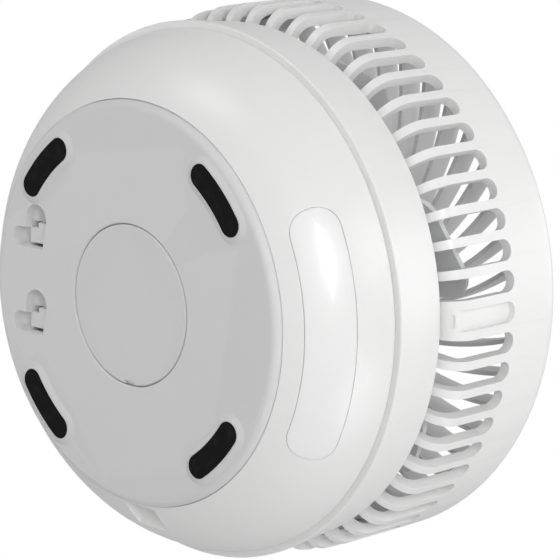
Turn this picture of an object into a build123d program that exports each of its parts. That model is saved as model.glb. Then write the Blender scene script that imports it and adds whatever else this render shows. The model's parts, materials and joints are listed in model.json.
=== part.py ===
from build123d import *
import math
import os

os.makedirs("parts", exist_ok=True)

# A round folding desk and wall fan with a night light, folded shut. The origin is the centre
# of the plane that the rubber feet stand on. +Z goes up from the base to the front guard, -Y is
# the side with the light window, +Y the side with the hinge, +X the side with the charging port.

# ---- base shells, millimetres ----
pan_radius = 68.0            # flat disc with the feet
pan_wall = 2.4
pan_height = 7.5             # height of the pan's rim
pan_round = 2.6              # rounded edge of the pan
pan_face_z = 1.5             # the rubber feet stand this far out of the pan
seam_gap = 0.2               # shadow gap between neighbouring shells
shell_wall = 2.4
lip_overhang = 2.4           # the upper shell's bottom edge stands this far proud of the dome
dome_start_z = 4.4
dome_top_z = 34.0
dome_arc = 42.5              # radius of the dome's shoulder in section
dome_edge = 0.5
flange_inner_r = 64.0        # ledge inside the dome that sits on the pan's rim
flange_wall = 2.0
waist_inset = 5.4            # the head stands this far out over the upper shell's top edge
waist_taper = 1.9            # the upper shell widens by this towards its bottom edge
waist_edge = 0.6
deck_z = 54.8
deck_wall = 2.4
spigot_inset = 3.7           # the spigot lies this far inside the dome's widest part
spigot_wall = 2.0
spigot_depth = 3.0

# ---- feet and screws ----
foot_ring_r = 58.7
foot_width = 8.0
foot_span = 19.0             # degrees between the centres of a foot's round ends
foot_seat = 0.6              # depth of the seat below the pan's face
foot_fit = 0.1
foot_edge = 0.5
foot_lip = 2.6               # sloping boss round each foot
foot_lip_height = 1.0
foot_lip_slope = 62.0        # degrees off the pan's axis
foot_lip_round = 0.8
screw_r = 1.5
screw_fit = 0.2
screw_head_r = 2.8
screw_head_height = 1.6
screw_length = 13.0
screw_seat_r = 4.6
screw_seat_height = 2.6
boss_r = 4.2

# ---- wall-hanging pockets ----
pocket_pitch = 29.6
pocket_depth = 4.4
pocket_wall = 1.6
pocket_draft = 12.0          # degrees
pocket_x = -12.0             # corner of the first pocket
pocket_y = 41.6
long_lobe_r = 5.3
long_lobe_length = 15.4      # corner to the end of the lobe
short_lobe_r = 3.4
short_lobe_length = 17.2
pocket_slant = 2.0           # the long lobe narrows towards the corner
pocket_floor_round = 2.0
shelf_depth = 2.2
shelf_length = 8.6
shelf_slit = 1.5
shelf_slit_length = 7.8
shelf_hole_x = 1.8
shelf_hole_y = 3.6
shelf_edge = 0.6             # from the hole to the shelf's straight edge

# ---- service cover ----
cover_radius = 27.0
cover_wall = 2.0
cover_gap = 0.3
cover_ledge = 3.0
cover_skirt = 3.0
cover_travel_clear = 0.4
cover_bevel = 0.45           # on the cover's rim and on its opening
notch_width = 4.4
notch_depth = 1.3

# ---- light window and charging port ----
window_half_angle = 30.5     # degrees each side of -Y
window_low = -51.2           # section angles on the shoulder arc
window_high = -28.4
window_corner = 7.6
window_gap = 0.12
port_y = -1.5
port_width = 14.0
port_ceiling_z = 12.3
port_back_x = 69.0
port_wall = 1.8
usb_z = 8.8
usb_width = 8.9
usb_height = 3.2
usb_length = 7.3
usb_shell = 0.4
usb_gap = 0.1
charge_board_length = 20.0
charge_board_width = 15.0

# ---- battery, boards, controls ----
cell_radius = 9.2
cell_length = 65.0
cell_gap = 0.4
cell_count = 4
cell_low_z = 9.0
pack_y = -8.0
cradle_wall = 1.8
cradle_height = 9.0
board_wall = 1.6
board_length = 60.0
board_width = 46.0
board_z = 34.0
board_inset = 4.0
post_r = 2.5
led_board_width = 60.0
led_board_height = 10.0
led_board_y = -64.0
led_count = 6
led_size = 3.0
button_radius = 8.0
button_gap = 0.3
button_travel = 0.6
button_sink = 0.2            # the caps sit just under the deck's top
button_flange = 1.2
button_edge = 0.4
button_x = 17.0
control_y = -60.0
stem_r = 2.0
switch_size = 6.0
switch_height = 3.0
stem_gap = 0.5               # play above and below a button
control_board_x = 64.0
control_board_y = 12.0
control_board_z = 42.0
lens_radius = 2.0

# ---- hinge ----
hinge_inset = 2.0            # the pin lies this far inside the head's outside
hinge_z = 55.3
knuckle_r = 4.5
knuckle_clear = 0.7          # round the other body's knuckle
pin_r = 2.0
pin_fit = 0.05               # running clearance of the leaf on the pin
pin_head = 0.8
leaf_half = 8.2
leaf_fit = 0.2
leaf_wall = 3.4
leaf_reach = 17.0            # how far the leaf reaches into the head
leaf_screw_r = 1.1
leaf_screw_head_r = 2.2
leaf_screw_head = 1.2
leaf_screw_sink = 0.2         # the heads lie this far under the leaf's face
screw_tip_gap = 0.3
washer_wall = 0.4
washer_gap = 0.05
washer_inset = 0.5
ear_width = 10.0
ear_low_z = 44.0
ear_root = 9.6               # how far the ears reach in from the upper shell's top edge
ear_slope = math.radians(25)    # where the ear's underside meets its knuckle

# ---- head shell ----
head_radius = 95.0
head_gap = 1.0               # between deck and head
head_wall = 3.6
head_corner = 10.0
head_lip = 6.0               # rounded front edge
head_top_z = 109.0
plate_wall = 2.6
slot_count = 58
slot_angle = 4.3             # degrees
first_slot = -90.9           # degrees, the blind slot opposite the hinge
slot_reach = 33.0            # the slots start this far inside the head's outside
slot_top_z = 85.4
blind_every = 29             # two slots are blind, with a rib behind them
blind_depth = 2.2
rib_r = 3.2
vent_count = 30
vent_angle = 6.0
vent_inner_r = 34.0
vent_margin = 8.0            # between the vents and the slots
vent_round = 1.0
slot_margin = 3.0            # the thicker rim of the plate starts this far inside the slots
hinge_block_half = 22.0
hinge_block_top_z = 74.0
hinge_pad_z = 60.4
hinge_pad_reach = 22.0

# ---- front guard ----
guard_gap = 0.3
guard_low_z = 98.0
guard_high_z = 108.8
guard_ring = 6.0
guard_edge = 2.0
guard_plate_r = 30.0
guard_plate_wall = 2.4
vane_count = 42
vane_wall = 1.5
vane_depth = 9.0
vane_top_z = 107.0
vane_swirl = 26.0            # degrees off the radius
badge_radius = 24.0
badge_wall = 1.6

# ---- motor and impeller ----
motor_boss_r = 23.0
motor_boss_wall = 2.6
tube_r = 7.6
tube_top_z = 76.6
bearing_r = 5.0
bearing_wall = 4.0
bearing_float = 0.4          # the rear bearing stands off the plate
tube_shoulder = 1.0          # seat for the bearings inside the tube
shaft_r = 1.6
shaft_fit = 0.03
shaft_low_z = 59.0
shaft_high_z = 85.0
stator_r = 18.5
stator_low_z = 64.5
stator_height = 9.0
stator_teeth = 9
stator_mouth = 1.6
stator_yoke = 2.4
tooth_width = 3.4
tooth_face = 2.0
coil_wall = 1.3
coil_gap = 0.1
magnet_r = 21.4
magnet_wall = 2.2
can_wall = 1.6
can_low_z = 63.6
impeller_hub_wall = 2.4
hub_low_z = 63.0
hub_top_z = 82.0
hub_wall = 2.0
mount_screw_ring_r = 19.0
mount_screw_r = 1.2
blade_clear = 1.5            # between blade tips and the hinge block
blade_count = 7
blade_tip_gap = 7.9          # between blade tips and the head's wall
blade_wall = 1.8
blade_z = 70.0
tip_chord = 40.0
tip_pitch = 22.0
root_chord = 27.0
root_pitch = 36.0
blade_phase = -106.5         # degrees, where the first blade's tip lies
blade_corner = 9.0
spinner_r = 12.0
spinner_height = 5.0

# ---- values that follow from the ones above ----
pan_inner_z = pan_face_z + pan_wall
pan_top_z = pan_face_z + pan_height
waist_radius = head_radius - waist_inset
lip_radius = waist_radius + waist_taper
dome_radius = lip_radius - lip_overhang
spigot_r = dome_radius - spigot_inset
dome_start_r = pan_radius + seam_gap
chord_r = dome_radius - dome_start_r
chord_z = dome_top_z - dome_start_z
chord = math.hypot(chord_r, chord_z)
rise = math.sqrt(dome_arc ** 2 - chord ** 2 / 4)
arc_r = (dome_start_r + dome_radius) / 2 - rise * chord_z / chord
arc_z = (dome_start_z + dome_top_z) / 2 + rise * chord_r / chord
deck_under_z = deck_z - deck_wall
head_floor_z = deck_z + head_gap
head_inner_r = head_radius - head_wall
hinge_y = head_radius - hinge_inset
ear_root_y = waist_radius - ear_root
hinge_pad_y = head_radius - hinge_pad_reach
slot_inner_r = head_radius - slot_reach
vent_outer_r = slot_inner_r - vent_margin
blade_tip_r = head_inner_r - blade_tip_gap
plate_z = head_floor_z + plate_wall
pack_width = cell_count * 2 * cell_radius + (cell_count - 1) * cell_gap
ear_x = leaf_half + washer_wall + 2 * washer_gap
slot_pitch = 360 / slot_count
guard_outer_r = head_inner_r - guard_gap
guard_inner_r = guard_outer_r - guard_ring
can_r = magnet_r + can_wall
hub_r = can_r + impeller_hub_wall
corners = (45, 135, 225, 315)
foot_names = ("foot_port_back", "foot_far_back", "foot_far_front", "foot_port_front")
pocket_corners = (pocket_x, pocket_x + pocket_pitch)


def section_radius(z, inset=0.0):
    # radius of the dome's section arc at height z, inset inwards by a wall
    return arc_r + math.sqrt((dome_arc - inset) ** 2 - (arc_z - z) ** 2)


def polar(radius, angle):
    return (radius * math.cos(math.radians(angle)), radius * math.sin(math.radians(angle)))


def on_arc(radius, angle):
    # point in the radial section, measured from the centre of the shoulder arc
    across, up = polar(radius, angle)
    return (arc_r + across, arc_z + up)


def foot_arc(angle, width):
    # a round-ended bar bent along the ring that the feet lie on
    middle_line = CenterArc((0, 0), foot_ring_r, angle - foot_span / 2, foot_span, mode=Mode.PRIVATE)
    SlotArc(middle_line, width)


def foot_outline(width):
    for angle in corners:
        foot_arc(angle, width)


def write(part, name):
    part.label = name
    export_step(part, "parts/" + name + ".step")


# ================= base =================
# two round-ended lobes at right angles that share one corner, heart-shaped
with BuildSketch() as pocket_outline:
    pocket_high_y = pocket_y + 2 * long_lobe_r
    for corner in pocket_corners:
        lobe_x = corner - long_lobe_length + long_lobe_r
        with BuildLine():
            Polyline(
                (lobe_x, pocket_y),
                (corner, pocket_y + pocket_slant),
                (corner, pocket_high_y),
                (lobe_x, pocket_high_y),
                close=True,
            )
        make_face()
        with Locations((corner, pocket_high_y)):
            Rectangle(
                2 * short_lobe_r,
                short_lobe_length - short_lobe_r - 2 * long_lobe_r,
                align=(Align.MAX, Align.MIN),
            )
        with Locations((lobe_x, pocket_y + long_lobe_r)):
            Circle(long_lobe_r)
        with Locations((corner - short_lobe_r, pocket_y + short_lobe_length - short_lobe_r)):
            Circle(short_lobe_r)

with BuildPart() as pocket_cutter:
    with BuildSketch(Plane.XY.offset(pan_face_z)):
        add(pocket_outline.sketch)
    extrude(amount=pocket_depth, taper=pocket_draft)
    fillet(pocket_cutter.edges().group_by(Axis.Z)[-1], pocket_floor_round)

with BuildPart() as base_pan:
    with BuildSketch(Plane.XY.offset(pan_face_z)):
        Circle(pan_radius)
    extrude(amount=pan_height)
    fillet(base_pan.edges().group_by(Axis.Z)[0], pan_round)
    with BuildSketch(Plane.XY.offset(pan_inner_z)):
        Circle(pan_radius - pan_wall)
    extrude(amount=pan_height, mode=Mode.SUBTRACT)
    # sloping bosses round the foot seats
    with BuildSketch(Plane((0, 0, pan_face_z), x_dir=(1, 0, 0), z_dir=(0, 0, -1))):
        foot_outline(foot_width + 2 * foot_lip)
    extrude(amount=foot_lip_height, taper=foot_lip_slope)
    fillet(base_pan.edges().group_by(Axis.Z)[0], foot_lip_round)
    face_edges = base_pan.edges().filter_by(
        lambda edge: edge.length < pan_radius
        and edge.bounding_box().size.Z < 0.01
        and abs(edge.center().Z - pan_face_z) < 0.01
    )
    fillet(face_edges, foot_lip_height)
    # seats of the case screws, cups behind the pockets, ledge behind the service cover
    with BuildSketch(Plane.XY.offset(pan_inner_z)):
        with PolarLocations(foot_ring_r, 4, start_angle=45):
            Circle(screw_seat_r)
    extrude(amount=screw_seat_height)
    with BuildSketch(Plane.XY.offset(pan_inner_z)):
        add(pocket_outline.sketch)
        offset(amount=pocket_wall, kind=Kind.ARC)
    extrude(amount=pan_face_z + pocket_depth + pocket_wall - pan_inner_z)
    with BuildSketch(Plane.XY.offset(pan_inner_z)):
        Circle(cover_radius + cover_ledge)
    extrude(amount=cover_wall)
    with BuildSketch(Plane.XY.offset(pan_face_z - foot_lip_height)):
        foot_outline(foot_width + 2 * foot_fit)
    extrude(amount=foot_lip_height + foot_seat, mode=Mode.SUBTRACT)
    add(pocket_cutter.part, mode=Mode.SUBTRACT)
    # shelf in each pocket's corner, with the two slits that take a screw's head
    with BuildSketch(Plane.XY.offset(pan_face_z + shelf_depth)):
        for corner in pocket_corners:
            with Locations((corner, pocket_y)):
                Rectangle(shelf_length, 2 * long_lobe_r, align=(Align.MAX, Align.MIN))
    extrude(amount=pocket_depth - shelf_depth + pocket_wall / 2)
    with BuildSketch(Plane.XY.offset(pan_face_z + shelf_depth)):
        for corner in pocket_corners:
            with Locations((corner - shelf_length, pocket_high_y - shelf_edge)):
                Rectangle(shelf_hole_x, shelf_hole_y, align=(Align.MIN, Align.MAX))
            with Locations((corner, pocket_high_y)):
                Rectangle(shelf_slit, shelf_slit_length, align=(Align.MAX, Align.MAX))
    extrude(amount=pocket_depth + pocket_wall, mode=Mode.SUBTRACT)
    # seat of the service cover
    with BuildSketch(Plane.XY.offset(pan_face_z)):
        Circle(cover_radius + cover_gap)
    extrude(amount=cover_wall, mode=Mode.SUBTRACT)
    mouth_edges = base_pan.edges().filter_by(
        lambda edge: edge.geom_type == GeomType.CIRCLE
        and abs(edge.radius - cover_radius - cover_gap) < 0.01
        and abs(edge.center().Z - pan_face_z) < 0.01
    )
    chamfer(mouth_edges, cover_bevel)
    with BuildSketch(Plane.XY.offset(pan_face_z)):
        Circle(cover_radius - cover_ledge)
    extrude(amount=pan_height, mode=Mode.SUBTRACT)
    # way for the charging board through the rim
    with Locations((pan_radius, port_y, pan_inner_z + seam_gap)):
        Box(16, port_width + 5, pan_height, align=(Align.CENTER, Align.CENTER, Align.MIN), mode=Mode.SUBTRACT)
    # case screws go up through the foot seats into the deck's bosses
    with BuildSketch(Plane.XY.offset(pan_face_z)):
        with PolarLocations(foot_ring_r, 4, start_angle=45):
            Circle(screw_head_r + screw_fit)
    extrude(amount=pan_wall + screw_seat_height - screw_head_height, mode=Mode.SUBTRACT)
    with BuildSketch(Plane.XY.offset(pan_face_z)):
        with PolarLocations(foot_ring_r, 4, start_angle=45):
            Circle(screw_r + screw_fit)
    extrude(amount=pan_height, mode=Mode.SUBTRACT)
write(base_pan.part, "base_pan")

for name, angle in zip(foot_names, corners):
    with BuildPart() as foot:
        with BuildSketch():
            foot_arc(angle, foot_width)
        extrude(amount=pan_face_z + foot_seat)
        fillet(foot.edges().group_by(Axis.Z)[0], foot_edge)
    write(foot.part, name)

with BuildPart() as service_cover:
    with BuildSketch(Plane.XY.offset(pan_face_z)):
        Circle(cover_radius)
    extrude(amount=cover_wall)
    chamfer(service_cover.edges().group_by(Axis.Z)[0], cover_bevel)
    with BuildSketch(Plane.XY.offset(pan_face_z + cover_wall)):
        Circle(cover_radius - cover_ledge - cover_travel_clear)
        Circle(cover_radius - cover_ledge - cover_travel_clear - cover_wall, mode=Mode.SUBTRACT)
    extrude(amount=cover_skirt)
    with Locations((cover_radius, 0, pan_face_z)):
        Box(2 * notch_depth, notch_width, 2 * notch_depth, mode=Mode.SUBTRACT)
write(service_cover.part, "service_cover")

with BuildPart() as port_surround:
    with Locations((port_back_x - port_wall, port_y, pan_inner_z + 4 * seam_gap)):
        Box(
            dome_radius,
            port_width + 2 * port_wall,
            port_ceiling_z + port_wall - pan_inner_z - 4 * seam_gap,
            align=(Align.MIN, Align.CENTER, Align.MIN),
        )
    with BuildSketch(Plane.XZ):
        with BuildLine():
            start = math.degrees(math.atan2(dome_start_z - arc_z, dome_start_r - arc_r))
            sweep_angle = math.degrees(math.atan2(dome_top_z - arc_z, dome_radius - arc_r)) - start
            outer = CenterArc((arc_r, arc_z), dome_arc, start, sweep_angle)
            Polyline(outer @ 1, (0, dome_top_z), (0, dome_start_z), outer @ 0)
        make_face()
    revolve(axis=Axis.Z, mode=Mode.INTERSECT)


def window_block(inset, corner_r):
    # a round-ended band across the shoulder, square to it at mid-height, centred on -Y
    middle = (window_low + window_high) / 2
    half_width = dome_arc * math.sin(math.radians(window_high - window_low) / 2) - inset
    half_turn = window_half_angle - math.degrees(inset / section_radius((dome_start_z + dome_top_z) / 2))
    depth = 2 * shell_wall
    with BuildPart() as block:
        with BuildSketch(Plane.XZ.rotated((0, 0, -90 - half_turn))):
            with Locations(Location((*on_arc(dome_arc, middle), 0), (0, 0, middle))):
                Rectangle(2 * depth, 2 * half_width)
        revolve(axis=Axis.Z, revolution_arc=2 * half_turn)
        ends = block.edges().filter_by(GeomType.LINE)
        fillet(ends.filter_by(lambda edge: abs(edge.length - 2 * depth) < 0.01), corner_r)
    return block.part


window_opening = window_block(0, window_corner)
window_plug = window_block(window_gap, window_corner - window_gap)


with BuildPart() as dome:
    with BuildSketch(Plane.XZ):
        with BuildLine():
            outer = CenterArc((arc_r, arc_z), dome_arc, start, sweep_angle)
            inner_low_z = arc_z - math.sqrt((dome_arc - shell_wall) ** 2 - (dome_start_r - arc_r) ** 2)
            inner = ThreePointArc(
                (section_radius(dome_top_z, shell_wall), dome_top_z),
                on_arc(dome_arc - shell_wall, start + sweep_angle / 2),
                (dome_start_r, inner_low_z),
            )
            Line(outer @ 1, inner @ 0)
            Line(inner @ 1, outer @ 0)
        make_face()
    revolve(axis=Axis.Z)
    fillet(dome.edges().group_by(Axis.Z)[-1].sort_by(SortBy.LENGTH)[-1], dome_edge)

with BuildPart() as base_shell:
    add(dome.part)
    with BuildSketch(Plane.XY.offset(pan_top_z)):
        Circle(section_radius(pan_top_z, shell_wall / 2))
        Circle(flange_inner_r, mode=Mode.SUBTRACT)
    extrude(amount=flange_wall)
    add(port_surround.part)
    # the notch for the plug, and the opening for the socket in its back wall
    with Locations((port_back_x, port_y, 0)):
        Box(
            dome_radius,
            port_width,
            port_ceiling_z,
            align=(Align.MIN, Align.CENTER, Align.MIN),
            mode=Mode.SUBTRACT,
        )
    with Locations((port_back_x + usb_gap, port_y, usb_z)):
        Box(
            port_back_x - flange_inner_r + 1,
            usb_width + 2 * usb_gap,
            usb_height + 2 * usb_gap,
            align=(Align.MAX, Align.CENTER, Align.CENTER),
            mode=Mode.SUBTRACT,
        )
    with Locations((port_back_x - port_wall, port_y, usb_z - usb_height / 2 - board_wall - usb_gap)):
        Box(
            port_back_x - flange_inner_r,
            charge_board_width + 2 * usb_gap,
            pan_top_z,
            align=(Align.MAX, Align.CENTER, Align.MIN),
            mode=Mode.SUBTRACT,
        )
    add(window_opening, mode=Mode.SUBTRACT)
write(base_shell.part, "base_shell")

with BuildPart() as light_window:
    add(dome.part)
    add(window_plug, mode=Mode.INTERSECT)
write(light_window.part, "light_window")

with BuildPart() as deck_shell:
    with BuildSketch(Plane.XZ):
        with BuildLine():
            Polyline(
                (0, deck_under_z),
                (0, deck_z),
                (waist_radius, deck_z),
                (lip_radius, dome_top_z),
                (spigot_r, dome_top_z),
                (spigot_r, dome_top_z - spigot_depth),
                (spigot_r - spigot_wall, dome_top_z - spigot_depth),
                (spigot_r - spigot_wall, dome_top_z + deck_wall),
                (lip_radius - deck_wall, dome_top_z + deck_wall),
                (waist_radius - deck_wall, deck_under_z),
                close=True,
            )
        make_face()
    revolve(axis=Axis.Z)
    rims = deck_shell.edges().filter_by(GeomType.CIRCLE)
    fillet(rims.filter_by(lambda edge: abs(edge.radius - waist_radius) < 0.01), waist_edge)
    fillet(rims.filter_by(lambda edge: abs(edge.radius - lip_radius) < 0.01), waist_edge)
    # bosses of the case screws, posts of the two boards
    with BuildSketch(Plane.XY.offset(pan_inner_z + screw_seat_height)):
        with PolarLocations(foot_ring_r, 4, start_angle=45):
            Circle(boss_r)
    extrude(until=Until.NEXT)
    with BuildSketch(Plane.XY.offset(board_z + board_wall)):
        with GridLocations(board_length - 2 * board_inset, board_width - 2 * board_inset, 2, 2):
            Circle(post_r)
    extrude(until=Until.NEXT)
    with BuildSketch(Plane.XY.offset(control_board_z + board_wall)):
        with Locations((0, control_y)):
            with GridLocations(control_board_x - 2 * post_r, 0, 2, 1):
                Circle(post_r)
    extrude(until=Until.NEXT)
    # block behind the hinge, and the two ears
    with BuildSketch(Plane.YZ.offset(-ear_x - ear_width)):
        with Locations((ear_root_y, ear_low_z)):
            Rectangle(waist_radius - 2 - ear_root_y, deck_z - ear_low_z, align=(Align.MIN, Align.MIN))
    extrude(amount=2 * (ear_x + ear_width))
    for x in (-ear_x - ear_width, ear_x):
        ear_low_y = waist_radius + (lip_radius - waist_radius) / 2
        with BuildSketch(Plane.YZ.offset(x)):
            with Locations((hinge_y, hinge_z)):
                Circle(knuckle_r)
            with BuildLine():
                Polyline(
                    (ear_root_y, deck_z),
                    (ear_root_y, ear_low_z),
                    (ear_low_y, ear_low_z),
                    (hinge_y + knuckle_r * math.cos(ear_slope), hinge_z - knuckle_r * math.sin(ear_slope)),
                    (hinge_y, deck_z),
                    close=True,
                )
            make_face()
        extrude(amount=ear_width)
    with Locations(Location((0, hinge_y, hinge_z), (0, 90, 0))):
        Cylinder(knuckle_r + knuckle_clear, 2 * ear_x, mode=Mode.SUBTRACT)
        Cylinder(pin_r, 3 * (ear_x + ear_width), mode=Mode.SUBTRACT)
    # openings for the buttons, the lens and the screws
    with BuildSketch(Plane.XY.offset(deck_z)):
        with Locations((-button_x, control_y), (button_x, control_y)):
            Circle(button_radius + button_gap)
        with Locations((0, control_y)):
            Circle(lens_radius)
    extrude(amount=-2 * deck_wall, mode=Mode.SUBTRACT)
    with BuildSketch(Plane.XY.offset(pan_inner_z)):
        with PolarLocations(foot_ring_r, 4, start_angle=45):
            Circle(screw_r)
    extrude(amount=screw_length + screw_seat_height, mode=Mode.SUBTRACT)
write(deck_shell.part, "deck_shell")

with BuildPart() as case_screws:
    head_z = pan_inner_z + screw_seat_height - screw_head_height
    with BuildSketch(Plane.XY.offset(head_z - screw_head_height)):
        with PolarLocations(foot_ring_r, 4, start_angle=45):
            Circle(screw_head_r)
    extrude(amount=screw_head_height)
    with BuildSketch(Plane.XY.offset(head_z)):
        with PolarLocations(foot_ring_r, 4, start_angle=45):
            Circle(screw_r)
    extrude(amount=screw_length)
write(case_screws.part, "case_screws")

# ---- light, charging and battery ----
flange_top_z = pan_top_z + flange_wall
with BuildPart() as led_board:
    with Locations((0, led_board_y, flange_top_z)):
        Box(led_board_width, board_wall, led_board_height, align=(Align.CENTER, Align.MAX, Align.MIN))
write(led_board.part, "led_board")

with BuildPart() as led_chips:
    with Locations((0, led_board_y - board_wall - 0.5, flange_top_z + led_board_height / 2)):
        with GridLocations((led_board_width - 3 * led_size) / (led_count - 1), 0, led_count, 1):
            Box(led_size, 1.0, led_size)
write(led_chips.part, "led_chips")

with BuildPart() as charge_board:
    with Locations((port_back_x - 3, port_y, usb_z - usb_height / 2)):
        Box(charge_board_length, charge_board_width, board_wall, align=(Align.MAX, Align.CENTER, Align.MAX))
write(charge_board.part, "charge_board")

with BuildPart() as usb_socket:
    with BuildSketch(Plane.YZ.offset(port_back_x)):
        with Locations((port_y, usb_z)):
            SlotOverall(usb_width, usb_height)
    extrude(amount=-usb_length)
    with BuildSketch(Plane.YZ.offset(port_back_x)):
        with Locations((port_y, usb_z)):
            SlotOverall(usb_width - 2 * usb_shell, usb_height - 2 * usb_shell)
            Rectangle(usb_width - usb_height, 0.7, mode=Mode.SUBTRACT)
    extrude(amount=usb_shell - usb_length, mode=Mode.SUBTRACT)
write(usb_socket.part, "usb_socket")

cradle_z = cell_low_z - cradle_wall
cradle_x = cell_length + 2 * cell_gap + 2 * cradle_wall
cradle_y = pack_width + 2 * cell_gap + 2 * cradle_wall
with BuildPart() as battery_cradle:
    with BuildSketch(Plane.XY.offset(cradle_z)):
        with Locations((0, pack_y)):
            RectangleRounded(cradle_x, cradle_y, cradle_wall)
    extrude(amount=cradle_height)
    with BuildSketch(Plane.XY.offset(cell_low_z)):
        with Locations((0, pack_y)):
            Rectangle(cradle_x - 2 * cradle_wall, cradle_y - 2 * cradle_wall)
    extrude(amount=cradle_height, mode=Mode.SUBTRACT)
    with BuildSketch(Plane.XY.offset(cradle_z)):
        with PolarLocations(cover_radius, 4, start_angle=45):
            Circle(post_r)
    extrude(amount=pan_inner_z + cover_wall - cradle_z)
write(battery_cradle.part, "battery_cradle")

for index in range(cell_count):
    cell_y = pack_y + (index - (cell_count - 1) / 2) * (2 * cell_radius + cell_gap)
    with BuildPart() as cell:
        with BuildSketch(Plane.YZ.offset(-cell_length / 2)):
            with Locations((cell_y, cell_low_z + cell_radius)):
                Circle(cell_radius)
        extrude(amount=cell_length - 1)
        fillet(cell.edges(), 0.8)
        with BuildSketch(Plane.YZ.offset(cell_length / 2 - 1.5)):
            with Locations((cell_y, cell_low_z + cell_radius)):
                Circle(cell_radius / 3)
        extrude(amount=1.5)
    write(cell.part, "battery_cell_%d" % (index + 1))

with BuildPart() as main_board:
    with BuildSketch(Plane.XY.offset(board_z)):
        RectangleRounded(board_length, board_width, 3)
    extrude(amount=board_wall)
write(main_board.part, "main_board")

with BuildPart() as main_board_chips:
    with Locations((-12, 4, board_z)):
        Box(9, 9, 1.4, align=(Align.CENTER, Align.CENTER, Align.MAX))
    with Locations((10, -8, board_z)):
        Box(7, 5, 1.2, align=(Align.CENTER, Align.CENTER, Align.MAX))
    with Locations((12, 10, board_z)):
        Box(6, 6, 3, align=(Align.CENTER, Align.CENTER, Align.MAX))
    with Locations((-16, -12, board_z)):
        Cylinder(3, 5, align=(Align.CENTER, Align.CENTER, Align.MAX))
write(main_board_chips.part, "main_board_chips")

# ---- controls under the deck ----
with BuildPart() as control_board:
    with BuildSketch(Plane.XY.offset(control_board_z)):
        with Locations((0, control_y)):
            RectangleRounded(control_board_x, control_board_y, 2)
    extrude(amount=board_wall)
write(control_board.part, "control_board")

with BuildPart() as status_lens:
    with BuildSketch(Plane.XY.offset(control_board_z + board_wall + switch_height)):
        with Locations((0, control_y)):
            Circle(lens_radius)
    extrude(amount=deck_z - control_board_z - board_wall - switch_height)
write(status_lens.part, "status_lens")

switch_top_z = control_board_z + board_wall + switch_height
cap_z = deck_under_z - stem_gap - button_flange
for name, x in (("speed", -button_x), ("light", button_x)):
    with BuildPart() as switch:
        with Locations((x, control_y, control_board_z + board_wall)):
            Box(switch_size, switch_size, switch_height, align=(Align.CENTER, Align.CENTER, Align.MIN))
            Cylinder(stem_r, switch_height + stem_gap - 0.1, align=(Align.CENTER, Align.CENTER, Align.MIN))
    write(switch.part, name + "_switch")
    with BuildPart() as button:
        with BuildSketch(Plane.XY.offset(cap_z)):
            with Locations((x, control_y)):
                Circle(button_radius + 3 * button_gap)
        extrude(amount=button_flange)
        with BuildSketch(Plane.XY.offset(cap_z)):
            with Locations((x, control_y)):
                Circle(button_radius)
        extrude(amount=deck_z - button_sink - cap_z)
        fillet(button.edges().group_by(Axis.Z)[-1], button_edge)
        with BuildSketch(Plane.XY.offset(switch_top_z + stem_gap + button_travel)):
            with Locations((x, control_y)):
                Circle(stem_r)
        extrude(amount=cap_z - switch_top_z - stem_gap - button_travel)
    write(button.part, name + "_button")

# ================= hinge =================
with BuildPart() as hinge_pin:
    with Locations(Location((0, hinge_y, hinge_z), (0, 90, 0))):
        Cylinder(pin_r, 2 * (ear_x + ear_width))
    with Locations(
        Location((ear_x + ear_width + pin_head / 2, hinge_y, hinge_z), (0, 90, 0)),
        Location((-ear_x - ear_width - pin_head / 2, hinge_y, hinge_z), (0, 90, 0)),
    ):
        Cylinder(pin_r + pin_head, pin_head)
write(hinge_pin.part, "hinge_pin")

with BuildPart() as hinge_washers:
    washer_x = leaf_half + washer_gap + washer_wall / 2
    with Locations(
        Location((washer_x, hinge_y, hinge_z), (0, 90, 0)),
        Location((-washer_x, hinge_y, hinge_z), (0, 90, 0)),
    ):
        Cylinder(knuckle_r - washer_inset, washer_wall)
    with Locations(Location((0, hinge_y, hinge_z), (0, 90, 0))):
        Cylinder(pin_r, 3 * ear_x, mode=Mode.SUBTRACT)
write(hinge_washers.part, "hinge_washers")

leaf_screw_y = hinge_y - leaf_reach / 2 - knuckle_r / 2
with BuildPart() as hinge_leaf:
    with BuildSketch(Plane.YZ.offset(-leaf_half)):
        with Locations((hinge_y, hinge_z)):
            Circle(knuckle_r)
        with Locations((hinge_y, head_floor_z)):
            Rectangle(leaf_reach, leaf_wall, align=(Align.MAX, Align.MIN))
    extrude(amount=2 * leaf_half)
    with Locations(Location((0, hinge_y, hinge_z), (0, 90, 0))):
        Cylinder(pin_r + pin_fit, 3 * leaf_half, mode=Mode.SUBTRACT)
    with BuildSketch(Plane.XY.offset(head_floor_z)):
        with Locations((0, leaf_screw_y)):
            with GridLocations(leaf_half, leaf_half / 1.5, 2, 2):
                Circle(leaf_screw_head_r)
    extrude(amount=leaf_screw_head, mode=Mode.SUBTRACT)
    with BuildSketch(Plane.XY.offset(head_floor_z)):
        with Locations((0, leaf_screw_y)):
            with GridLocations(leaf_half, leaf_half / 1.5, 2, 2):
                Circle(leaf_screw_r)
    extrude(amount=leaf_wall, mode=Mode.SUBTRACT)
write(hinge_leaf.part, "hinge_leaf")

with BuildPart() as leaf_screws:
    with BuildSketch(Plane.XY.offset(head_floor_z + leaf_screw_sink)):
        with Locations((0, leaf_screw_y)):
            with GridLocations(leaf_half, leaf_half / 1.5, 2, 2):
                Circle(leaf_screw_head_r - leaf_screw_sink / 2)
    extrude(amount=leaf_screw_head - leaf_screw_sink)
    with BuildSketch(Plane.XY.offset(head_floor_z + leaf_screw_head)):
        with Locations((0, leaf_screw_y)):
            with GridLocations(leaf_half, leaf_half / 1.5, 2, 2):
                Circle(leaf_screw_r)
    extrude(amount=hinge_pad_z - head_floor_z - leaf_screw_head - screw_tip_gap)
write(leaf_screws.part, "leaf_screws")

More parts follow.
